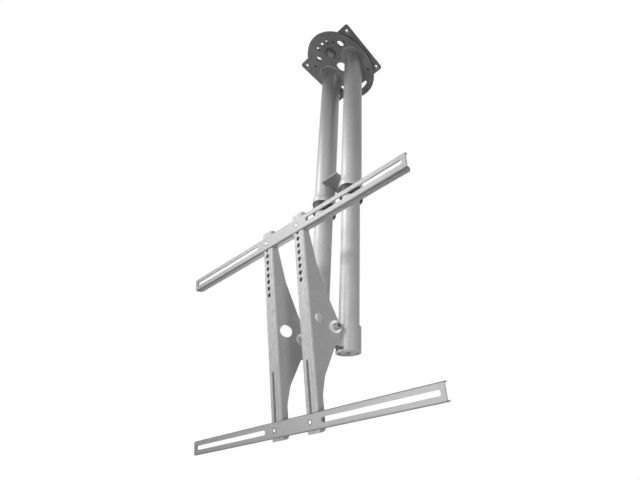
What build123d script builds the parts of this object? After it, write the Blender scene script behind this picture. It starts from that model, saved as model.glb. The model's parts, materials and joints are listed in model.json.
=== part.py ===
from build123d import *
import math
import os

# Twin-column ceiling mount for a flat screen: a ceiling plate with a swivel disc,
# two telescopic columns and a tilting cradle of two arms and two slotted rails.
# Millimetres. The origin is the centre of the ceiling plate's top face, +Z is up,
# X runs along the rails and -Y faces the screen.

# Ceiling plate and swivel
plate_width = 208
plate_depth = 138
plate_thickness = 5
plate_corner = 6
fixing_spacing_x = 180
fixing_spacing_y = 115
fixing_hole = 6.6
fixing_countersink = 14
liner_thickness = 1
liner_radius = 41
gap = 0.3
disc_radius = 97
disc_thickness = 6
hub_bore_radius = 16
hub_radius = 20
hub_flange_radius = 24
hub_flange_thickness = 2.6
hub_running_clearance = 0.05

# Openings that line up in the plate and the disc when the swivel is at rest
large_opening = (17.5, 20)
large_opening_centre = (49.5, -46.5)
small_opening = (14, 15)
small_opening_centre = (-39, -53)

# Index holes, curved slot and screw holes of the disc
index_radius = 73.5
index_hole = 10
index_angles = (-102, -86.5, -73, -60)
curved_slot_width = 12
curved_slot_half_angle = 21
disc_screw_hole = 8
plate_screw_hole = 6.8
disc_screw_centre = (65.5, 46)
lock_bolt_centre = (6, -46.5)
lock_bolt_radius = 5
lock_washer_radius = 14
lock_washer_thickness = 2.5

# Columns
tube_spacing = 102
outer_radius = 25
outer_wall = 2
inner_radius = 21
inner_wall = 2
tube_flange_radius = 32
tube_flange_thickness = 5
sliding_clearance = 0.1
drop_to_pivot = 939
outer_end_above_pivot = 403
inner_top_above_pivot = 572
brace_above_pivot = 438
brace_thickness = 4
brace_width = 57
brace_depth = 56
collar_radius = 28
collar_height = 42
bushing_height = 46
guide_height = 30

# Pivot brackets and end caps
pivot_forward = 41.5
bracket_radius = 24.8
bracket_above_pivot = 11
bracket_below_pivot = 47
ear_offset = 7.8
ear_thickness = 3
ear_front = 13
ear_top = 9
ear_bottom = 43
cap_radius = 20.7
cap_thickness = 3.4
cap_recess = 0.6
cap_plug_length = 18

# Cradle: the arms are drawn upright about the pivot and leaned by the rest tilt
rest_tilt = 8
arm_thickness = 3
arm_face_width = 31
arm_front = 53.5
arm_top = 242.5
arm_bottom = -195.5
arm_lip_depth = 14
bend_radius = 4.5
hole_row = 14.3
arm_hole = 6.5
arm_hole_pitch = 14.95
arm_hole_count = 9
arm_hole_top = 216.5
arm_slot_width = 6.5
arm_slot_top = -62.5
arm_slot_bottom = -183.5
wing_hole_centre = (-33, 16.5)
right_wing_hole = 20
left_wing_hole = 26
tilt_bolt_radius = 5
tilt_head_radius = 8
tilt_head_length = 9
tilt_washer_radius = 13
tilt_washer_thickness = 2
running_clearance = 0.05

# Rails
rail_length = 681
rail_height = 30.5
rail_thickness = 2.5
rail_flange = 13.3
rail_lip = 6.5
upper_rail_height = 216.5
lower_rail_height = -174.6
rail_slot_start = 79.5
rail_slot_end = 332
rail_slot_width = 9
rail_hole = 6.6
screw_head_radius = 5.1
screw_recess = 0.1
notch_clearance = 2.5
relief_radius = 2.2
rail_bend = 4

# Places worked out from the sizes above
plate_bottom = -plate_thickness
disc_top = plate_bottom - liner_thickness - gap
disc_bottom = disc_top - disc_thickness
pivot_height = -drop_to_pivot
outer_end = pivot_height + outer_end_above_pivot
inner_top = pivot_height + inner_top_above_pivot
bracket_top = pivot_height + bracket_above_pivot
bracket_bottom = pivot_height - bracket_below_pivot
sides = {"left": -tube_spacing / 2, "right": tube_spacing / 2}
wing_face = ear_offset + gap + arm_thickness


def cylinder_between(radius, low, high, x=0, y=0):
    return Pos(x, y, (low + high) / 2) * Cylinder(radius, high - low)


def box_between(x0, x1, y0, y1, z0, z1):
    centre = Pos((x0 + x1) / 2, (y0 + y1) / 2, (z0 + z1) / 2)
    return centre * Box(x1 - x0, y1 - y0, z1 - z0)


def ring_between(outer, inner, low, high, x=0, y=0):
    solid = cylinder_between(outer, low, high, x, y)
    return solid - cylinder_between(inner, low - 1, high + 1, x, y)


def hex_between(across_flats, low, high, x=0, y=0):
    face = RegularPolygon(across_flats / 2, 6, major_radius=False)
    return Pos(x, y, low) * extrude(face, high - low)


def upright_opening(size, centre, low, high):
    width, length = size
    face = Pos(*centre, low) * Rot(0, 0, 90) * SlotOverall(length, width)
    return extrude(face, high - low)


def opening_cuts(low, high):
    x, y = large_opening_centre
    cuts = [upright_opening(large_opening, centre, low, high) for centre in ((x, y), (-x, -y))]
    cuts.append(upright_opening(small_opening, small_opening_centre, low, high))
    return cuts


def polar(radius, degrees):
    angle = math.radians(degrees)
    return radius * math.cos(angle), radius * math.sin(angle)


def mirrored_points(point):
    x, y = point
    return [(a * x, b * y) for a in (-1, 1) for b in (-1, 1)]


def make_ceiling_plate():
    face = RectangleRounded(plate_width, plate_depth, plate_corner)
    plate = Pos(0, 0, plate_bottom) * extrude(face, plate_thickness)
    plate -= cylinder_between(hub_radius, plate_bottom - 1, 1)
    for x, y in mirrored_points((fixing_spacing_x / 2, fixing_spacing_y / 2)):
        plate -= cylinder_between(fixing_hole / 2, plate_bottom - 1, 1, x, y)
        sink = (fixing_countersink - fixing_hole) / 2
        cone = Cone(fixing_countersink / 2, fixing_hole / 2, sink)
        plate -= Pos(x, y, plate_bottom + sink / 2) * cone
    for x, y in mirrored_points(disc_screw_centre):
        plate -= cylinder_between(plate_screw_hole / 2, plate_bottom - 1, 1, x, y)
    return plate - opening_cuts(plate_bottom - 1, 1)


def make_swivel_hub():
    flange_low = disc_bottom + gap
    hub = cylinder_between(hub_radius, flange_low, 0)
    hub += cylinder_between(hub_flange_radius, flange_low, flange_low + hub_flange_thickness)
    return hub - cylinder_between(hub_bore_radius, flange_low - 1, 1)


def make_swivel_liner():
    inner = hub_radius + gap
    return ring_between(liner_radius, inner, plate_bottom - liner_thickness, plate_bottom)


def make_swivel_disc():
    low, high = disc_bottom - 1, disc_top + 1
    disc = cylinder_between(disc_radius, disc_bottom, disc_top)
    disc = chamfer(disc.edges().filter_by(GeomType.CIRCLE), 0.6)
    disc -= cylinder_between(hub_radius + hub_running_clearance, low, high)
    seat = disc_bottom + gap + hub_flange_thickness + gap
    disc -= cylinder_between(hub_flange_radius + gap, low, seat)
    for angle in index_angles:
        disc -= cylinder_between(index_hole / 2, low, high, *polar(index_radius, angle))
    arc = CenterArc((0, 0), index_radius, 90 - curved_slot_half_angle, 2 * curved_slot_half_angle)
    disc -= Pos(0, 0, low) * extrude(SlotArc(arc, curved_slot_width), high - low)
    for x, y in mirrored_points(disc_screw_centre):
        disc -= cylinder_between(disc_screw_hole / 2, low, high, x, y)
    disc -= cylinder_between(lock_bolt_radius, low, high, *lock_bolt_centre)
    return disc - opening_cuts(low, high)


def make_swivel_lock_bolt():
    x, y = lock_bolt_centre
    seat = disc_bottom - lock_washer_thickness
    bolt = cylinder_between(lock_bolt_radius, seat, plate_bottom - gap, x, y)
    head = hex_between(17, seat - 6.4, seat, x, y)
    return bolt + (head & cylinder_between(9.4, seat - 7, seat, x, y))


def make_swivel_lock_washer():
    x, y = lock_bolt_centre
    low = disc_bottom - lock_washer_thickness
    return ring_between(lock_washer_radius, lock_bolt_radius, low, disc_bottom, x, y)


def make_tube_flange(x):
    low = disc_bottom - tube_flange_thickness
    flange = cylinder_between(tube_flange_radius, low, disc_bottom, x)
    flange = chamfer(flange.edges().filter_by(GeomType.CIRCLE).sort_by(Axis.Z)[0], 1.2)
    return flange - cylinder_between(outer_radius, low - 1, disc_bottom + 1, x)


def make_outer_tube(x):
    tube = ring_between(outer_radius, outer_radius - outer_wall, outer_end, disc_bottom, x)
    back_hole = Pos(x, outer_radius, lock_screw_height()) * Rot(90, 0, 0) * Cylinder(4, 12)
    return tube - back_hole


def lock_screw_height():
    return outer_end + 14


def make_tube_brace():
    low = pivot_height + brace_above_pivot
    face = RectangleRounded(brace_width, brace_depth, 2)
    brace = Pos(0, 0, low) * extrude(face, brace_thickness)
    for x in sides.values():
        brace -= cylinder_between(outer_radius, low - 1, low + brace_thickness + 1, x)
    return brace


def make_collar(x):
    top = outer_end
    low = top - collar_height
    collar = cylinder_between(collar_radius, low, top, x)
    collar = fillet(collar.edges().filter_by(GeomType.CIRCLE), 1.5)
    waist = ring_between(collar_radius + 5, collar_radius - 1.2, low + 9, top - 11, x)
    collar -= waist
    return collar - cylinder_between(inner_radius + gap, low - 1, top + 1, x)


def make_bushing(x):
    outer = outer_radius - outer_wall
    inner = inner_radius + sliding_clearance
    bushing = ring_between(outer, inner, outer_end, outer_end + bushing_height, x)
    back_hole = Pos(x, outer_radius, lock_screw_height()) * Rot(90, 0, 0) * Cylinder(4, 12)
    return bushing - back_hole


def make_height_lock_screws():
    screws = []
    for x in sides.values():
        tip = inner_radius + gap
        shaft = Pos(x, (tip + outer_radius + 3) / 2, lock_screw_height()) * Rot(90, 0, 0)
        shaft = shaft * Cylinder(4, outer_radius + 3 - tip)
        head = Pos(x, outer_radius + 6.5, lock_screw_height()) * Rot(90, 0, 0) * Cylinder(6.5, 8)
        socket = Pos(x, outer_radius + 8.5, lock_screw_height()) * Rot(90, 0, 0)
        socket = socket * extrude(RegularPolygon(3, 6, major_radius=False), 3, both=True)
        screws.append(shaft + head - socket)
    return Compound(children=screws)


def make_inner_tube(x):
    low = bracket_bottom + cap_recess + cap_thickness
    return ring_between(inner_radius, inner_radius - inner_wall, low, inner_top, x)


def make_guide_ring(x):
    outer = outer_radius - outer_wall - sliding_clearance
    low = inner_top - guide_height
    return ring_between(outer, inner_radius, low, inner_top, x)


def make_pivot_bracket(x):
    sleeve = ring_between(bracket_radius, inner_radius, bracket_bottom, bracket_top, x)
    outside = x + ear_offset
    front = -pivot_forward - ear_front
    length = -front - 15
    height = ear_top + ear_bottom
    outline = Rot(0, 90, 0) * RectangleRounded(height, length, 7)
    place = Pos(outside - ear_thickness, front + length / 2, pivot_height + (ear_top - ear_bottom) / 2)
    ear = place * extrude(outline, ear_thickness)
    ear -= cylinder_between(inner_radius + 1, bracket_bottom, bracket_top, x)
    bore = Pos(outside, -pivot_forward, pivot_height) * Rot(0, 90, 0)
    ear -= bore * Cylinder(tilt_bolt_radius + running_clearance, 20)
    return sleeve + ear


def make_end_cap(x):
    face_low = bracket_bottom + cap_recess
    cap = cylinder_between(cap_radius, face_low, face_low + cap_thickness, x)
    cap = chamfer(cap.edges().filter_by(GeomType.CIRCLE).sort_by(Axis.Z)[0], 0.6)
    plug_radius = inner_radius - inner_wall
    top = face_low + cap_thickness + cap_plug_length
    cap += ring_between(plug_radius, plug_radius - 3, face_low + cap_thickness, top, x)
    cap -= cylinder_between(3, face_low - 1, top, x)
    return cap - cylinder_between(5.5, face_low - 1, face_low + 2, x)


def make_end_cap_screws():
    screws = []
    for x in sides.values():
        face_low = bracket_bottom + cap_recess
        head = cylinder_between(5, face_low + 0.4, face_low + 2, x)
        shaft = cylinder_between(3, face_low + 2, face_low + 22, x)
        socket = hex_between(5, face_low, face_low + 1.8, x)
        screws.append(head + shaft - socket)
    return Compound(children=screws)


def leaned(shape):
    return Pos(0, -pivot_forward, pivot_height) * Rot(rest_tilt, 0, 0) * shape


def across(x0, x1, outline):
    face = make_face(outline)
    return Pos(x0, 0, 0) * extrude(face, x1 - x0, dir=(1, 0, 0))


def side_view(points, radii):
    corners = [(0, y, z) for y, z in points]
    return FilletPolyline(*corners, radius=radii, close=True)


def make_arm(x, wing_hole):
    """Folded channel: the lip is short, the other flange is the deep wing with the pivot."""
    right = x + wing_face
    left = right - arm_face_width
    deepest = 16
    front = -arm_front
    section = make_face(Polyline(
        (left, deepest), (left, front), (right, front), (right, deepest),
        (right - arm_thickness, deepest), (right - arm_thickness, front + arm_thickness),
        (left + arm_thickness, front + arm_thickness), (left + arm_thickness, deepest),
        close=True))
    outer = [v for v in section.vertices() if abs(v.Y - front) < 0.1]
    section = fillet(outer, bend_radius)
    inner = [v for v in section.vertices() if abs(v.Y - front - arm_thickness) < 0.1]
    section = fillet(inner, bend_radius - arm_thickness)
    channel = Pos(0, 0, arm_bottom) * extrude(section, arm_top - arm_bottom)
    lip_back = front + arm_lip_depth
    middle = (left + right) / 2
    wing = side_view(
        [(front - 2, arm_bottom), (front - 2, arm_top), (lip_back, arm_top), (-40.6, 202),
         (-28.3, 126), (-7.4, 56.5), (10.7, 8.2), (10.7, -20.6), (-6.5, -44.3), (-32, -97), (lip_back, -132),
         (lip_back, arm_bottom)],
        [0.5, 0.5, 6, 30, 40, 60, 9, 9, 12, 30, 20, 6])
    lip = side_view(
        [(front - 2, arm_bottom), (front - 2, arm_top), (lip_back, arm_top), (lip_back, arm_bottom)],
        [0.5, 0.5, 6, 6])
    arm = channel & (across(middle, right + 5, wing) + across(left - 5, middle, lip))
    row = left + hole_row
    for i in range(arm_hole_count):
        place = Pos(row, front, arm_hole_top - i * arm_hole_pitch) * Rot(90, 0, 0)
        arm -= place * Cylinder(arm_hole / 2, 12)
    slot_length = arm_slot_top - arm_slot_bottom
    slot = Pos(row, front, (arm_slot_top + arm_slot_bottom) / 2) * Rot(90, 0, 0) * Rot(0, 0, 90)
    arm -= slot * extrude(SlotOverall(slot_length, arm_slot_width), 6, both=True)
    hole_y, hole_z = wing_hole_centre
    arm -= Pos(right, hole_y, hole_z) * Rot(0, 90, 0) * Cylinder(wing_hole / 2, 10)
    arm -= Pos(right, 0, 0) * Rot(0, 90, 0) * Cylinder(tilt_bolt_radius, 10)
    return leaned(arm)


def along_x(shape, x, y=0, z=0):
    return Pos(x, y, z) * Rot(0, 90, 0) * shape


def make_tilt_bolt(x):
    washer_out = x + wing_face + tilt_washer_thickness
    head = along_x(Cylinder(tilt_head_radius, tilt_head_length), washer_out + tilt_head_length / 2)
    head = chamfer(head.edges().filter_by(GeomType.CIRCLE).sort_by(Axis.X)[-1], 0.8)
    socket = along_x(extrude(RegularPolygon(4, 6, major_radius=False), 5, both=True), washer_out + tilt_head_length)
    nut_out = x + ear_offset - ear_thickness - 14
    shaft = along_x(Cylinder(tilt_bolt_radius, washer_out - nut_out), (washer_out + nut_out) / 2)
    return leaned(head + shaft - socket)


def make_tilt_washer(x):
    middle = x + wing_face + tilt_washer_thickness / 2
    disc = along_x(Cylinder(tilt_washer_radius, tilt_washer_thickness), middle)
    return leaned(disc - along_x(Cylinder(tilt_bolt_radius, 10), middle))


def make_tilt_nuts():
    nuts = []
    for x in sides.values():
        face = x + ear_offset - ear_thickness - gap
        nut = along_x(extrude(RegularPolygon(8.5, 6, major_radius=False), -8), face)
        nut -= along_x(Cylinder(tilt_bolt_radius, 40), face)
        nuts.append(nut)
    return leaned(Compound(children=nuts))


def arm_spans():
    return [(x + wing_face - arm_face_width, x + wing_face) for x in sides.values()]


rail_centre = sum(left + hole_row for left, right in arm_spans()) / 2


def make_rail(height, standoff):
    web_back = -arm_front - standoff
    front = web_back - rail_thickness
    low, high = height - rail_height / 2, height + rail_height / 2
    back = front + rail_flange
    lip = front + rail_lip
    inner_low, inner_high = low + rail_thickness, high - rail_thickness
    corners = [(back, low), (front, low), (front, high), (lip, high), (lip, inner_high),
               (web_back, inner_high), (web_back, inner_low), (back, inner_low)]
    outer, inner = rail_bend, rail_bend - rail_thickness
    outline = side_view(corners, [0.6, outer, outer, 0.6, 0.6, inner, inner, 0.6])
    start = rail_centre - rail_length / 2
    rail = across(start, start + rail_length, outline)
    plan = Pos(rail_centre, 0, low - 1) * extrude(Pos(0, back - 20) * RectangleRounded(rail_length, 40, 7), 60)
    rail &= plan
    for x0, x1 in arm_spans():
        x0, x1 = x0 - notch_clearance, x1 + notch_clearance
        rail -= box_between(x0, x1, web_back, back + 5, low - 1, high + 1)
        for x in (x0, x1):
            rail -= cylinder_between(relief_radius, low - 1, inner_low + 1, x, web_back + 2.6)
        row = (x0 + notch_clearance) + hole_row
        place = Pos(row, front, height) * Rot(90, 0, 0)
        rail -= place * Cylinder(rail_hole / 2, 12)
        sink = screw_head_radius + 0.2 - rail_hole / 2
        rail -= place * Pos(0, 0, -sink / 2) * Cone(rail_hole / 2, screw_head_radius + 0.2, sink)
    slot_length = rail_slot_end - rail_slot_start
    slot_middle = (rail_slot_end + rail_slot_start) / 2
    for side in (-1, 1):
        place = Pos(rail_centre + side * slot_middle, front, height) * Rot(90, 0, 0)
        rail -= place * extrude(SlotOverall(slot_length, rail_slot_width), 5, both=True)
    return leaned(rail)


def make_rail_screws(height, standoff):
    front = -arm_front - standoff - rail_thickness
    screws = []
    for left, right in arm_spans():
        place = Pos(left + hole_row, front, height) * Rot(90, 0, 0)
        depth = screw_head_radius - 3
        head = place * Pos(0, 0, -screw_recess - depth / 2) * Cone(3, screw_head_radius, depth)
        socket = place * Pos(0, 0, -screw_recess) * extrude(RegularPolygon(2, 6, major_radius=False), 1.2, both=True)
        tip = rail_thickness + arm_thickness + 9.5
        shaft = place * cylinder_between(3, -tip, -screw_recess - depth)
        screws.append(head + shaft - socket)
    return leaned(Compound(children=screws))


def make_rail_nuts(height, lift):
    face = -arm_front + arm_thickness + lift
    nuts = []
    for left, right in arm_spans():
        place = Pos(left + hole_row, face, height) * Rot(-90, 0, 0)
        nut = place * extrude(RegularPolygon(5, 6, major_radius=False), 5)
        nuts.append(nut - place * Cylinder(3, 30))
    return leaned(Compound(children=nuts))


pieces = {
    "ceiling_plate": make_ceiling_plate(),
    "swivel_hub": make_swivel_hub(),
    "swivel_liner": make_swivel_liner(),
    "swivel_disc": make_swivel_disc(),
    "swivel_lock_bolt": make_swivel_lock_bolt(),
    "swivel_lock_washer": make_swivel_lock_washer(),
    "tube_brace": make_tube_brace(),
    "height_lock_screws": make_height_lock_screws(),
    "end_cap_screws": make_end_cap_screws(),
    "tilt_nuts": make_tilt_nuts(),
    "upper_rail": make_rail(upper_rail_height, 0),
    "upper_rail_screws": make_rail_screws(upper_rail_height, 0),
    "upper_rail_nuts": make_rail_nuts(upper_rail_height, 0),
    "lower_rail": make_rail(lower_rail_height, gap),
    "lower_rail_screws": make_rail_screws(lower_rail_height, gap),
    "lower_rail_nuts": make_rail_nuts(lower_rail_height, gap),
    "left_arm": make_arm(sides["left"], left_wing_hole),
    "right_arm": make_arm(sides["right"], right_wing_hole),
}
for side, x in sides.items():
    pieces[side + "_tube_flange"] = make_tube_flange(x)
    pieces[side + "_outer_tube"] = make_outer_tube(x)
    pieces[side + "_collar"] = make_collar(x)
    pieces[side + "_bushing"] = make_bushing(x)
    pieces[side + "_inner_tube"] = make_inner_tube(x)
    pieces[side + "_guide_ring"] = make_guide_ring(x)
    pieces[side + "_pivot_bracket"] = make_pivot_bracket(x)
    pieces[side + "_end_cap"] = make_end_cap(x)
    pieces[side + "_tilt_bolt"] = make_tilt_bolt(x)
    pieces[side + "_tilt_washer"] = make_tilt_washer(x)

os.makedirs("parts", exist_ok=True)
for name, shape in pieces.items():
    export_step(shape, f"parts/{name}.step")
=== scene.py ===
# Twin-column ceiling mount for a flat screen: finishes, small details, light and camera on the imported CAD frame.
# Metres. The origin is the middle of the ceiling plate's top face, +Z is up, X runs along the rails, -Y faces the screen.
import json
import math
import bmesh
import bpy
import numpy as np
from mathutils import Matrix, Vector


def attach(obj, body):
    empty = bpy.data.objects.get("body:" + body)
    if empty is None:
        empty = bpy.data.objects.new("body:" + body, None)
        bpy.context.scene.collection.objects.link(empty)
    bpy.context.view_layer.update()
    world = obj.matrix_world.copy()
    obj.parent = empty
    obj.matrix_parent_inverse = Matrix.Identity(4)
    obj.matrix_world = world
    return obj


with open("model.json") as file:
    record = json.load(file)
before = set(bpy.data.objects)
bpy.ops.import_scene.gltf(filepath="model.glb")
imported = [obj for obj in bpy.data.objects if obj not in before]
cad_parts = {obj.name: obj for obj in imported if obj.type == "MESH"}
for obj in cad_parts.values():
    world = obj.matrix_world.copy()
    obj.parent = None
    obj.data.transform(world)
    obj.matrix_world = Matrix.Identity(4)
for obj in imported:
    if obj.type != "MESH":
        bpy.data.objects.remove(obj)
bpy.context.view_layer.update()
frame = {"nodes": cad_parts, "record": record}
nodes = frame["nodes"]
scene = bpy.context.scene
scene.view_settings.view_transform = "Standard"

cameraView = {
    "place": (0.5892, -0.4437, -1.1787),
    "turn": 23.54,  # degrees round the mount, from straight in front
    "climb": 20.51,  # degrees that it looks up
    "roll": 9.18,
    "lens": 17.36,  # mm on a 36 mm sensor
    "shift": (-0.2719, 0.1125),
}


def makeCamera(view):
    turn, climb, roll = (math.radians(view[name]) for name in ("turn", "climb", "roll"))
    ahead = Vector((-math.sin(turn) * math.cos(climb), math.cos(turn) * math.cos(climb), math.sin(climb)))
    right = ahead.cross(Vector((0, 0, 1))).normalized()
    down = ahead.cross(right)
    across = right * math.cos(roll) + down * math.sin(roll)
    below = down * math.cos(roll) - right * math.sin(roll)
    lens = bpy.data.cameras.new("camera")
    lens.sensor_width = 36
    lens.lens = view["lens"]
    lens.shift_x, lens.shift_y = view["shift"]
    lens.clip_start, lens.clip_end = 0.01, 60
    camera = bpy.data.objects.new("camera", lens)
    camera.matrix_world = Matrix.Translation(view["place"]) @ Matrix((across, -below, -ahead)).transposed().to_4x4()
    scene.collection.objects.link(camera)
    scene.camera = camera


makeCamera(cameraView)
print("camera placed")


# A screen grey or colour, 0 to 255, as the linear value that a socket takes.
def tone(*levels):
    linear = [(c / 255 / 12.92) if c <= 10 else ((c / 255 + 0.055) / 1.055) ** 2.4 for c in levels]
    return tuple(linear * 3 if len(linear) == 1 else linear) + (1.0,)


class Wire:  # a socket that turns arithmetic into Math nodes
    def __init__(self, finish, socket):
        self.finish, self.socket = finish, socket

    def maths(self, operation, *values):
        return self.finish.add("ShaderNodeMath", {"operation": operation}, dict(enumerate(values)))

    def __add__(self, other):
        return self.maths("ADD", self, other)

    def __radd__(self, other):
        return self.maths("ADD", other, self)

    def __sub__(self, other):
        return self.maths("SUBTRACT", self, other)

    def __rsub__(self, other):
        return self.maths("SUBTRACT", other, self)

    def __mul__(self, other):
        return self.maths("MULTIPLY", self, other)

    def __rmul__(self, other):
        return self.maths("MULTIPLY", other, self)

    def __truediv__(self, other):
        return self.maths("DIVIDE", self, other)

    def __pow__(self, other):
        return self.maths("POWER", self, other)

    def size(self):
        return self.finish.add("ShaderNodeMath", {"operation": "ABSOLUTE"}, {0: self})


cradleLean = {"degrees": 8.0, "pivot": (0, -0.0415, -0.939)}  # how far the cradle leans forward about its pivots


class Finish:  # one material's node tree
    def __init__(self, name):
        self.material = bpy.data.materials.new(name)
        self.material.use_nodes = True
        self.tree = self.material.node_tree
        self.tree.nodes.clear()
        self.place = self.add("ShaderNodeTexCoord", output="Object")

    def add(self, kind, settings=None, inputs=None, output=0):
        node = self.tree.nodes.new(kind)
        for name, value in (settings or {}).items():
            if name == "stops":
                ramp = node.color_ramp
                while len(ramp.elements) < len(value):
                    ramp.elements.new(0.5)
                for element, (at, colour) in zip(ramp.elements, value):
                    element.position, element.color = at, colour
            else:
                setattr(node, name, value)
        for name, value in (inputs or {}).items():
            if isinstance(value, Wire):
                self.tree.links.new(value.socket, node.inputs[name])
            else:
                node.inputs[name].default_value = value
        return Wire(self, node.outputs[output])

    def noise(self, size, detail=2.0, roughness=0.5, stretch=None):  # size is a feature's width in metres
        place = self.place
        if stretch:
            place = self.add("ShaderNodeMapping", {}, {"Vector": place, "Scale": stretch})
        return self.add("ShaderNodeTexNoise", {}, {"Vector": place, "Scale": 1 / size, "Detail": detail, "Roughness": roughness})

    def between(self, factor, first, second):  # a colour from first to second as factor goes from 0 to 1
        return self.add("ShaderNodeMix", {"data_type": "RGBA"}, {0: factor, 6: first, 7: second}, output=2)

    def leaned(self):  # the place in the cradle's own upright frame, about its pivots
        settings = {"vector_type": "TEXTURE"}
        turn = (math.radians(cradleLean["degrees"]), 0, 0)
        return self.add("ShaderNodeMapping", settings, {"Vector": self.place, "Location": cradleLean["pivot"], "Rotation": turn})

    def step(self, value, low, high):  # 0 below low, 1 above high, smooth between
        return self.add("ShaderNodeMapRange", {"interpolation_type": "SMOOTHSTEP"}, {"Value": value, "From Min": low, "From Max": high})

    def part(self, vector, index):  # one coordinate of a vector
        return self.add("ShaderNodeSeparateXYZ", {}, {"Vector": vector}, output=index)

    def bump(self, height, distance):
        return self.add("ShaderNodeBump", {}, {"Height": height, "Distance": distance, "Strength": 1.0})

    def surface(self, values):
        return self.close(self.add("ShaderNodeBsdfPrincipled", {}, values))

    def close(self, shader):
        output = self.tree.nodes.new("ShaderNodeOutputMaterial")
        self.tree.links.new(shader.socket, output.inputs["Surface"])
        return self.material


satinSilver = {
    "light": tone(211, 210, 210),
    "deep": tone(199, 198, 199),
    "mottle": 0.0045,
    "flake": 0.0005,
    "cloud": 0.05,
    "streak": 0.0022,  # width of one brushed line
    "speck": 0.0016,  # the paint's darker specks
    "metallic": 0.12,
    "roughness": (0.42, 0.5),
    "gloss": 0.4,
    "peel": 0.0022,
    "peelDepth": 0.000015,
}


# Silver paint: two close greys mixed by a cloudy noise, a mottle, a flake noise and a noise drawn out along the grain of
# the metal, with darker specks, over a faint orange peel. Lines is how much of the mix the drawn-out noise takes.
def makeSatinSilver(name, look, grain="up", lines=0.15, shade=None):
    finish = Finish(name)
    along = (0.02, 1, 1) if grain == "across" else (1, 1, 0.02)
    cloud = finish.noise(look["cloud"], 3)
    flake = finish.noise(look["flake"], 1)
    speck = finish.noise(look["speck"], 3, 0.7)
    streak = finish.noise(look["streak"], 3, 0.65, along)
    mottle = finish.noise(look["mottle"], 3, 0.6)
    mix = finish.step(cloud * 0.2 + mottle * 0.45 + flake * (0.35 - lines) + streak * lines, 0.38, 0.62)
    colour = finish.between(mix, look["deep"], look["light"])
    colour = finish.between(finish.step(speck, 0.40, 0.24) * 0.16, colour, tone(110))
    if shade:
        colour = shade(finish, colour, streak)
    low, high = look["roughness"]
    peel = finish.noise(look["peel"], 1)
    return finish.surface({
        "Base Color": colour,
        "Roughness": low + (high - low) * (0.7 * flake + 0.3 * streak),
        "Metallic": look["metallic"],
        "Specular IOR Level": look["gloss"],
        "Normal": finish.bump(peel, look["peelDepth"]),
    })


railMarks = {
    "heights": (0.2165, -0.1746),  # upper and lower rail above the pivots
    "bend": (0.0125, 0.0145),  # from a rail's middle line to its fold
    "depth": (-0.0530, -0.0490),  # the mark fades out between these depths
    "strength": 0.55,
    # colour of the painted shade along both folds
    "darkerTone": tone(84),
}


# The rails: painted shade darkens both folds, strongest at the fold and fading over the flange behind.
def railShade(finish, colour, streak):
    leant = finish.leaned()
    y, z = (finish.part(leant, index) for index in (1, 2))
    upper, lower = railMarks["heights"]
    away = (z - upper).size().maths("MINIMUM", (z - upper).size(), (z - lower).size())
    # painted shade: darker towards each fold and towards the front
    foldShade = finish.step(away, *railMarks["bend"]) * (1 - finish.step(y, *railMarks["depth"]))
    return finish.between(foldShade * railMarks["strength"], colour, railMarks["darkerTone"])


armMarks = {
    "edges": (-0.051 - 0.0199, 0.051 - 0.0199),  # left edge of each arm's face
    "face": (-0.0005, 0.0285),  # the brushed part of the face, from that edge
    "line": 0.0253,  # the painted shade line left of the fold
    "lineWidth": 0.0007,
    "front": (-0.0515, -0.0505),  # marks on the face end between these depths
    "hole": 0.0143,  # hole row, from the edge
    "top": 0.2165,  # the highest hole above the pivot
    "pitch": 0.01495,
    "holes": 9,
    # the painted shadow round each hole fades out between these radii
    "rim": (0.0046, 0.0052),
    "holeShadowTone": tone(38),
    # colour of the brushed lines and of the painted shade line beside the fold
    "darkerTone": tone(112),
}


# The arms: brushed lines run up the faces only, with one thin line of painted shade beside the fold, and a dark ring of
# painted shadow round each punched hole, where its wall lies in shade.
def armShade(finish, colour, streak):
    leant = finish.leaned()
    x, y, z = (finish.part(leant, index) for index in range(3))
    low, high = armMarks["face"]
    front = 1 - finish.step(y, *armMarks["front"])
    above = (armMarks["top"] - z) / armMarks["pitch"]
    nearest = above.maths("MINIMUM", above.maths("MAXIMUM", above.maths("ROUND", above), 0.0), armMarks["holes"] - 1.0)
    rise = (above - nearest) * armMarks["pitch"]
    line = rim = face = 0
    for edge in armMarks["edges"]:
        beside = x - edge
        face = finish.step(beside, low, low + 0.0005) * (1 - finish.step(beside, high, high + 0.001)) + face
        width = armMarks["lineWidth"]
        line = (1 - finish.step((beside - armMarks["line"]).size(), width * 0.4, width)) + line
        away = ((beside - armMarks["hole"]) ** 2 + rise ** 2) ** 0.5
        rim = (1 - finish.step(away, *armMarks["rim"])) + rim
    brushed = finish.step(streak, 0.58, 0.36) * 0.3 * face * front
    colour = finish.between(brushed, colour, armMarks["darkerTone"])
    # painted shade: a thin dark line beside the fold
    colour = finish.between(line * front * 0.5, colour, armMarks["darkerTone"])
    # painted shadow: a dark ring round each punched hole
    return finish.between(rim * front * 0.9, colour, armMarks["holeShadowTone"])


earFoot = {"front": (-0.0212, -0.0226), "heights": (-0.9835, -0.9755), "soft": 0.0012, "shadow": tone(58)}


# The brackets: a dark patch on the sleeve below the ear's foot stands in for the deep shadow of that corner.
def earShade(finish, colour, streak):
    y, z = (finish.part(finish.place, index) for index in (1, 2))
    low, high = earFoot["heights"]
    band = finish.step(z, low, low + earFoot["soft"]) * (1 - finish.step(z, high - earFoot["soft"], high))
    foot = band * finish.step(y, *earFoot["front"])
    return finish.between(foot * 0.85, colour, earFoot["shadow"])


charcoalCoat = {
    "light": tone(166, 164, 165),
    "deep": tone(140, 139, 140),
    "grain": 0.0011,
    "speckle": 0.0005,
    "cloud": 0.03,
    "roughness": (0.48, 0.64),
    "depth": 0.00018,
}


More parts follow.
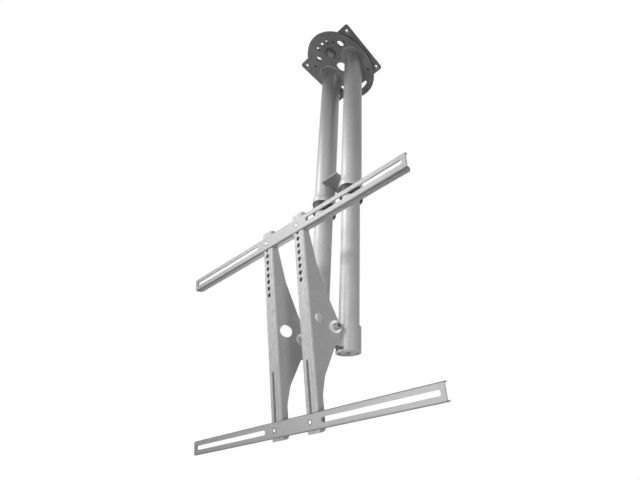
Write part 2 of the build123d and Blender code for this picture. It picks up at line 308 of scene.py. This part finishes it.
# Charcoal powder coat: a fine grain noise lifts the surface and lightens its tops, with small speckles and soft clouds.
# Shade, when given, adds to the colour for one piece.
def makeCharcoalCoat(name, look, shade=None):
    finish = Finish(name)
    grain = finish.noise(look["grain"], 3, 0.6)
    speckle = finish.noise(look["speckle"], 1)
    cloud = finish.noise(look["cloud"], 2)
    tops = finish.step(grain * 0.5 + speckle * 0.2 + cloud * 0.3, 0.36, 0.64)
    colour = finish.between(tops, look["deep"], look["light"])
    if shade:
        colour = shade(finish, colour)
    low, high = look["roughness"]
    return finish.surface({
        "Base Color": colour,
        "Roughness": high - (high - low) * tops,
        "Normal": finish.bump(grain, look["depth"]),
    })


cornerSinks = {"spacing": (0.180, 0.115), "inner": 0.0034, "outer": 0.0068, "soft": 0.0006, "patch": 0.003, "bare": tone(196, 196, 195)}


# The paint is thin in the corner holes' countersinks, so a pale ring of metal shows round each hole.
def sinkShade(finish, colour):
    x, y = (finish.part(finish.place, index) for index in (0, 1))
    dx = x.size() - cornerSinks["spacing"][0] / 2
    dy = y.size() - cornerSinks["spacing"][1] / 2
    away = (dx ** 2 + dy ** 2) ** 0.5
    soft = cornerSinks["soft"]
    inner, outer = cornerSinks["inner"], cornerSinks["outer"]
    ring = finish.step(away, inner - soft, inner) * (1 - finish.step(away, outer, outer + soft))
    worn = finish.step(finish.noise(cornerSinks["patch"], 2), 0.25, 0.6)
    return finish.between(ring * (0.55 + 0.45 * worn), colour, cornerSinks["bare"])


zincGrain = {"patch": 0.005, "grain": 0.0009, "depth": 0.000004}
zincPlates = {
    "zincPlate": {"light": tone(226, 226, 224), "deep": tone(196, 197, 198), "metallic": 0.7, "roughness": (0.24, 0.4)},
    "zincWasher": {"light": tone(255), "deep": tone(248, 248, 247), "metallic": 0.8, "roughness": (0.4, 0.5)},
    "zincBolt": {"light": tone(178, 178, 176), "deep": tone(146, 147, 148), "metallic": 0.7, "roughness": (0.3, 0.46)},
}


# Zinc-plated steel: bright metal whose colour and gloss change over a fine patchy noise.
def makeZincPlate(name, look, shade=None):
    finish = Finish(name)
    patch = finish.noise(zincGrain["patch"], 2, 0.5)
    grain = finish.noise(zincGrain["grain"], 2)
    colour = finish.between(finish.step(patch, 0.3, 0.75), look["deep"], look["light"])
    if shade:
        colour = shade(finish, colour)
    low, high = look["roughness"]
    return finish.surface({
        "Base Color": colour,
        "Roughness": low + (high - low) * grain,
        "Metallic": look["metallic"],
        "Normal": finish.bump(grain, zincGrain["depth"]),
    })


railScrews = {
    "middle": -0.0056,  # between the two screws of a rail
    "half": 0.051,
    "upper": -0.7324,
    "lower": -1.1197,
    "bright": (0.0031, 0.0035),  # the bright middle fades out between these radii
    "dark": tone(70),
}


# A rail screw shows a bright middle in a dark ring, the shadow gap of its sink.
def screwShade(height):
    def shade(finish, colour):
        x, z = (finish.part(finish.place, index) for index in (0, 2))
        away = (((x - railScrews["middle"]).size() - railScrews["half"]) ** 2 + (z - height) ** 2) ** 0.5
        ring = finish.step(away, *railScrews["bright"])
        return finish.between(ring * 0.9, colour, railScrews["dark"])
    return shade


mouldGrain = {"drift": 0.02, "depth": 0.00005}
mouldedPlastics = {
    "blackPlastic": {"light": tone(34), "deep": tone(24), "roughness": (0.42, 0.55), "grain": 0.0008},
    "greyPlastic": {"light": tone(240, 244, 240), "deep": tone(232, 237, 233), "roughness": (0.4, 0.52), "grain": 0.0008},
    "nylon": {"light": tone(226, 225, 219), "deep": tone(216, 215, 208), "roughness": (0.35, 0.45), "grain": 0.0006},
}


# Moulded plastic: one colour that drifts a little, over a fine spark-eroded grain.
def makePlastic(name, look):
    finish = Finish(name)
    drift = finish.noise(mouldGrain["drift"], 2)
    grain = finish.noise(look["grain"], 2, 0.6)
    low, high = look["roughness"]
    return finish.surface({
        "Base Color": finish.between(drift, look["deep"], look["light"]),
        "Roughness": low + (high - low) * grain,
        "Normal": finish.bump(grain, mouldGrain["depth"]),
    })


capRings = {"spacing": 0.102, "groove": (0.0172, 0.0179), "rim": 0.0194, "soft": 0.0003}


# The end caps: the same plastic, with a moulded groove near the edge darkened by painted shade, and a dark joint round
# it.
def makeEndCap(name, look):
    finish = Finish(name)
    drift = finish.noise(mouldGrain["drift"], 2)
    grain = finish.noise(look["grain"], 2, 0.6)
    x, y = (finish.part(finish.place, index) for index in (0, 1))
    away = ((x.size() - capRings["spacing"] / 2) ** 2 + y ** 2) ** 0.5
    inner, outer = capRings["groove"]
    soft = capRings["soft"]
    groove = finish.step(away, inner - soft, inner) * (1 - finish.step(away, outer, outer + soft))
    rim = finish.step(away, capRings["rim"] - soft, capRings["rim"])
    colour = finish.between(drift, look["deep"], look["light"])
    # painted shade in the moulded groove
    colour = finish.between(groove * 0.85, colour, tone(52, 54, 53))
    colour = finish.between(rim * 0.8, colour, tone(60, 62, 61))
    low, high = look["roughness"]
    return finish.surface({
        "Base Color": colour,
        "Roughness": low + (high - low) * grain,
        "Normal": finish.bump(grain - groove * 3, mouldGrain["depth"]),
    })


# painted highlight: the beads round the flange rims take a pale coat where the flange edge catches the light
weldHighlightFinish = makeCharcoalCoat("weldHighlightCoat", dict(charcoalCoat, light=tone(226), deep=tone(204)))
finishes = {
    "silver_paint": makeSatinSilver("satinSilver", satinSilver),
    "charcoal_paint": makeCharcoalCoat("charcoalCoat", charcoalCoat),
    "zinc_steel": makeZincPlate("zincPlate", zincPlates["zincPlate"]),
    "black_plastic": makePlastic("blackPlastic", mouldedPlastics["blackPlastic"]),
    "grey_plastic": makeEndCap("greyPlastic", mouldedPlastics["greyPlastic"]),
    "nylon": makePlastic("nylon", mouldedPlastics["nylon"]),
}
tubeLook = dict(satinSilver, roughness=(0.34, 0.42), gloss=0.85)
tubeFinish = makeSatinSilver("tubeSilver", tubeLook)
bracketFinish = makeSatinSilver("bracketSilver", tubeLook, shade=earShade)
# painted shade: the brace takes a darker copy of the silver paint for its underside, which faces down into shade
shadedBraceFinish = makeSatinSilver("shadedBraceSilver", dict(satinSilver, light=tone(160), deep=tone(146)))
armFinish = makeSatinSilver("armSilver", satinSilver, "up", 0.05, armShade)
railLook = dict(satinSilver, light=tone(198, 197, 197), deep=tone(190, 189, 190), peelDepth=0.000001)
railFinish = makeSatinSilver("railSilver", railLook, "across", 0.2, railShade)
washerFinish = makeZincPlate("zincWasher", zincPlates["zincWasher"])
boltFinish = makeZincPlate("zincBolt", zincPlates["zincBolt"])
plateFinish = makeCharcoalCoat("plateCoat", charcoalCoat, sinkShade)
lockFinish = makeCharcoalCoat("lockCoat", dict(charcoalCoat, light=tone(190), deep=tone(166)))
lockWasherFinish = makeCharcoalCoat("lockWasherCoat", dict(charcoalCoat, light=tone(118), deep=tone(100)))
ownFinish = {
    "left_arm": armFinish, "right_arm": armFinish,
    "upper_rail": railFinish, "lower_rail": railFinish,
    "left_outer_tube": tubeFinish, "right_outer_tube": tubeFinish, "tube_brace": shadedBraceFinish,
    "left_inner_tube": tubeFinish, "right_inner_tube": tubeFinish,
    "left_pivot_bracket": bracketFinish, "right_pivot_bracket": bracketFinish,
    "ceiling_plate": plateFinish,
    "swivel_lock_bolt": lockFinish, "swivel_lock_washer": lockWasherFinish,
    "left_tilt_washer": washerFinish, "right_tilt_washer": washerFinish,
    "left_tilt_bolt": boltFinish, "right_tilt_bolt": boltFinish,
}
for rail in ("upper", "lower"):
    screwLook = zincPlates["zincWasher"]
    ownFinish[rail + "_rail_screws"] = makeZincPlate(rail + "Screws", screwLook, screwShade(railScrews[rail]))

for part in frame["record"]["subparts"]:  # each CAD node takes the finish of its material slot, or its own kind of it
    mesh = nodes[part["node"]].data
    mesh.materials.clear()
    mesh.materials.append(ownFinish.get(part["node"], finishes[part["material_slot"]]))
print("finishes made")


# A closed surface from a grid of points, rows by columns. Columns come round to their start, and rows do where rowsRound.
def addSurface(name, points, body, slot, finish=None, rowsRound=False):
    rows, columns = points.shape[:2]
    i, j = np.meshgrid(np.arange(rows if rowsRound else rows - 1), np.arange(columns), indexing="ij")
    after, beside = (i + 1) % rows, (j + 1) % columns
    faces = np.stack([i * columns + j, i * columns + beside, after * columns + beside, after * columns + j], -1).reshape(-1, 4)
    mesh = bpy.data.meshes.new(name)
    mesh.from_pydata(points.reshape(-1, 3).tolist(), [], faces.tolist())
    shape = bmesh.new()
    shape.from_mesh(mesh)
    bmesh.ops.remove_doubles(shape, verts=shape.verts, dist=1e-6)
    bmesh.ops.dissolve_degenerate(shape, edges=shape.edges, dist=1e-7)
    bmesh.ops.recalc_face_normals(shape, faces=shape.faces)
    shape.to_mesh(mesh)
    shape.free()
    mesh.polygons.foreach_set("use_smooth", np.ones(len(mesh.polygons), dtype=bool))
    mesh.materials.append(finish or finishes[slot])
    piece = bpy.data.objects.new(name, mesh)
    scene.collection.objects.link(piece)
    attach(piece, body)
    return piece


welds = {
    "bead": 0.0018,  # radius of a bead
    "step": 0.0032,  # length of one ripple of the torch
    "swell": 0.16,  # share by which a ripple swells it
    "flange": (0.0322, -0.0122),  # radius and height of the bead round each tube flange's rim
    "tube": (0.0256, -0.0176),  # the same where the tube meets its flange
    "brace": (0.0254, (-0.4968, -0.5012), 25.0),  # radius, the heights above and below the brace, half angle in degrees
    "ear": (0.0078, -0.0236, -0.977, -0.933),  # place beside the tube, depth, low and high end of the ear's bead
}


# A bead is a circle carried along a path. Its radius swells and shrinks as a cosine of the length run, one wave for each
# ripple, and at the ends of an open path it rounds off as the root of one minus the eighth power of the way to the end.
def addBead(name, path, across, body, slot, finish=None, closed=False):
    count = len(path)
    ahead = np.roll(path, -1, 0) - np.roll(path, 1, 0)
    if not closed:
        ahead[0], ahead[-1] = path[1] - path[0], path[-1] - path[-2]
    ahead /= np.linalg.norm(ahead, axis=1)[:, None]
    across = np.broadcast_to(across, path.shape)
    across = across - (across * ahead).sum(1)[:, None] * ahead
    across /= np.linalg.norm(across, axis=1)[:, None]
    above = np.cross(ahead, across)
    run = np.concatenate([[0], np.cumsum(np.linalg.norm(np.diff(path, axis=0), axis=1))])
    whole = run[-1] + (np.linalg.norm(path[0] - path[-1]) if closed else 0)
    ripples = max(1, round(whole / welds["step"]))
    radius = welds["bead"] * (1 - welds["swell"] * (0.5 - 0.5 * np.cos(2 * np.pi * ripples * run / whole)))
    if not closed:
        radius *= np.sqrt(np.clip(1 - np.abs(2 * run / whole - 1) ** 8, 0, 1))
    turn = np.linspace(0, 2 * np.pi, 10, endpoint=False)
    ring = np.cos(turn)[None, :, None] * across[:, None] + np.sin(turn)[None, :, None] * above[:, None]
    return addSurface(name, path[:, None] + radius[:, None, None] * ring, body, slot, finish, rowsRound=closed)


def arcPath(x, radius, height, start, end, count):
    turn = np.radians(np.linspace(start, end, count, endpoint=end - start < 360))
    return np.stack([x + radius * np.cos(turn), radius * np.sin(turn), np.full(count, height)], 1)


columns = {"left": -0.051, "right": 0.051}
for side, x in columns.items():
    radius, height = welds["flange"]
    addBead(side + "FlangeWeld", arcPath(x, radius, height, 0, 360, 260), (0, 0, 1), "column", "charcoal_paint", weldHighlightFinish, closed=True)
    radius, height = welds["tube"]
    addBead(side + "TubeWeld", arcPath(x, radius, height, 0, 360, 220), (0, 0, 1), "column", "charcoal_paint", closed=True)
    radius, heights, half = welds["brace"]
    middle = 0 if side == "left" else 180
    for level, height in zip(("Upper", "Lower"), heights):
        path = arcPath(x, radius, height, middle - half, middle + half, 60)
        addBead(side + "Brace" + level + "Weld", path, (0, 0, 1), "column", "silver_paint")
    beside, depth, low, high = welds["ear"]
    heights = np.linspace(low, high, 130)
    path = np.stack([np.full(130, x + beside - 0.0006), np.full(130, depth), heights], 1)
    addBead(side + "EarWeld", path, (1, 0, 0), "carriage", "silver_paint")
print("welds made")


tubeEnds = {  # the flared end of each outer tube, which caps the collar below: radius and height of its outline
    "outline": [
        (0.0247, -0.5140), (0.0251, -0.5200), (0.0256, -0.5260), (0.0264, -0.5310), (0.0274, -0.5345), (0.0283, -0.5375),
        (0.0287, -0.5410), (0.0287, -0.5512), (0.0284, -0.5520), (0.02805, -0.5520), (0.02805, -0.5358), (0.0249, -0.5356),
    ],
    "steps": 96,
}


# An outline turned about an upright line: point (radius, height) goes to (x + radius cos t, radius sin t, height).
def addTurned(name, outline, x, steps, body, slot, finish):
    radius, height = np.array(outline).T[:, :, None]
    turn = np.linspace(0, 2 * np.pi, steps, endpoint=False)
    points = np.stack([x + radius * np.cos(turn), radius * np.sin(turn), np.repeat(height, steps, 1)], -1)
    return addSurface(name, points, body, slot, finish, rowsRound=True)


for side, x in columns.items():
    addTurned(side + "TubeEnd", tubeEnds["outline"], x, tubeEnds["steps"], "column", "silver_paint", tubeFinish)
print("tube ends made")


threads = {
    "tilt": {"from": -0.0092, "to": -0.0036, "radius": 0.00498, "pitch": 0.0015, "depth": 0.0005},
    "rail": {"from": -0.0449, "to": -0.0411, "radius": 0.00298, "pitch": 0.0010, "depth": 0.00035},
    "railHeights": {"upper": (0.2165, "cradle"), "lower": (-0.1746, "lower_rail")},
    "holeRow": -0.0056,  # the hole row beside the tube's middle
}


# A thread is a rod whose radius grows by a rounded ridge: the ridge's height is the depth times the square of half the
# cosine of the turns run minus the angle, so it climbs one pitch for each turn. Both ends close on the middle line.
def threadGrid(look, steps=40):
    length = look["to"] - look["from"]
    rows = int(length / look["pitch"] * 14)
    run = np.linspace(0, length, rows)
    turn = np.linspace(0, 2 * np.pi, steps, endpoint=False)
    wave = np.cos(2 * np.pi * run[:, None] / look["pitch"] - turn[None, :])
    fade = np.clip(np.minimum(run, length - run) / (look["pitch"] * 0.6), 0, 1)[:, None]
    radius = look["radius"] + look["depth"] * (0.5 + 0.5 * wave) * fade
    along = look["from"] + run[:, None] + 0 * turn
    ends = [np.zeros((1, steps)), radius, np.zeros((1, steps))]
    radius = np.concatenate(ends)
    along = np.concatenate([along[:1], along, along[-1:]])
    turn = np.broadcast_to(turn, radius.shape)
    return along, radius * np.cos(turn), radius * np.sin(turn)


# A point of the cradle's own upright frame, leaned forward about the pivots.
def leaned(x, y, z):
    lean = math.radians(cradleLean["degrees"])
    depth, height = cradleLean["pivot"][1:]
    return np.stack([x, y * math.cos(lean) - z * math.sin(lean) + depth, y * math.sin(lean) + z * math.cos(lean) + height], -1)


for side, x in columns.items():
    along, first, second = threadGrid(threads["tilt"])
    addSurface(side + "TiltThread", leaned(x + along, first, second), "cradle", "zinc_steel")
    for rail, (height, body) in threads["railHeights"].items():
        along, first, second = threadGrid(threads["rail"], 28)
        points = leaned(x + threads["holeRow"] + first, along, height + second)
        addSurface(side + rail.capitalize() + "RailThread", points, body, "zinc_steel")
print("threads made")


studio = {
    "floor": -1.9,
    "worldLight": 0.0,
    "lamps": [  # name, aim, way from the aim, distance, size, power, cone in degrees
        ("keyLow", (0.04, -0.08, -0.67), (-0.476, -0.824, -0.309), 2.2, 0.5, 54, 28),
        ("key", (0.00, -0.08, -0.75), (-0.483, -0.837, 0.259), 2.4, 0.5, 46, 30),
        ("keyHigh", (-0.02, -0.08, -0.80), (-0.354, -0.612, 0.707), 2.4, 0.5, 46, 28),
        ("keyMiddle", (0.06, -0.03, -0.52), (-0.483, -0.837, 0.200), 2.4, 0.4, 88, 14),
        ("band", (0.07, 0.0, -0.60), (0.50, -0.84, 0.22), 2.4, 0.4, 44, 13),
        ("frontRight", (0.12, -0.08, -0.80), (0.330, -0.908, 0.259), 2.4, 0.5, 25, 30),
        ("lowerRight", (0.36, -0.12, -1.11), (0.350, -0.900, -0.150), 2.0, 0.4, 96, 17),
        ("right", (0.04, -0.08, -0.86), (0.919, -0.246, -0.309), 2.2, 0.5, 48, 25),
        ("below", (0.0, -0.08, -0.70), (0.15, -0.60, -0.78), 1.3, 0.6, 13, 90),
        ("disc", (0.02, 0.0, -0.01), (0.20, -0.30, -0.93), 1.75, 0.3, 26, 12),
        ("back", (0.0, 0.0, -0.60), (-0.82, 0.56, -0.12), 2.6, 0.5, 80, 46),
    ],
}


# The world is white to the camera and to reflections, and a plain grey light to everything else.
def makeWorld(look):
    world = bpy.data.worlds.new("studio")
    world.use_nodes = True
    tree = world.node_tree
    tree.nodes.clear()
    ray = tree.nodes.new("ShaderNodeLightPath")
    seen = None
    for name in ("Is Camera Ray", "Is Glossy Ray", "Is Transmission Ray"):
        if seen is None:
            seen = ray.outputs[name]
            continue
        most = tree.nodes.new("ShaderNodeMath")
        most.operation = "MAXIMUM"
        tree.links.new(seen, most.inputs[0])
        tree.links.new(ray.outputs[name], most.inputs[1])
        seen = most.outputs[0]
    level = tree.nodes.new("ShaderNodeMapRange")
    level.inputs["To Min"].default_value = look["worldLight"]
    level.inputs["To Max"].default_value = 1.0
    tree.links.new(seen, level.inputs["Value"])
    sky = tree.nodes.new("ShaderNodeBackground")
    sky.inputs["Color"].default_value = (1, 1, 1, 1)
    tree.links.new(level.outputs["Result"], sky.inputs["Strength"])
    output = tree.nodes.new("ShaderNodeOutputWorld")
    tree.links.new(sky.outputs[0], output.inputs["Surface"])
    scene.world = world


# The floor is a large pale square. Near the mount it takes light and shadow, and far off it fades to plain white.
def makeFloor(look):
    half, z = 12.0, look["floor"]
    corners = np.array([(-half, -half, z), (half, -half, z), (half, half, z), (-half, half, z)])
    mesh = bpy.data.meshes.new("floor")
    mesh.from_pydata(corners.tolist(), [], [(0, 1, 2, 3)])
    floor = bpy.data.objects.new("floor", mesh)
    scene.collection.objects.link(floor)
    finish = Finish("floorPaper")
    away = finish.add("ShaderNodeVectorMath", {"operation": "LENGTH"}, {0: finish.place}, output="Value")
    fade = finish.step(away, 2.2, 4.0)
    ray = finish.add("ShaderNodeLightPath", output="Is Camera Ray")
    glossy = finish.add("ShaderNodeLightPath", output="Is Glossy Ray")
    seen = ray.maths("MAXIMUM", ray, glossy)
    paper = finish.add("ShaderNodeBsdfDiffuse", {}, {"Color": tone(244)})
    glow = finish.add("ShaderNodeEmission", {}, {"Color": (1, 1, 1, 1), "Strength": 1.0})
    share = seen * (0.6 + 0.4 * fade)
    mixed = finish.add("ShaderNodeMixShader", {}, {0: share, 1: paper, 2: glow})
    mesh.materials.append(finish.close(mixed))


def makeLamps(look):
    for name, aim, way, distance, size, power, cone in look["lamps"]:
        lamp = bpy.data.lights.new(name, "SPOT")
        lamp.energy = power
        lamp.spot_size, lamp.spot_blend, lamp.shadow_soft_size = math.radians(cone), 1.0, size / 2
        holder = bpy.data.objects.new(name, lamp)
        way = Vector(way).normalized()
        holder.matrix_world = Matrix.Translation(Vector(aim) + way * distance) @ way.to_track_quat("Z", "Y").to_matrix().to_4x4()
        scene.collection.objects.link(holder)


makeWorld(studio)
makeFloor(studio)
makeLamps(studio)
print("studio made")
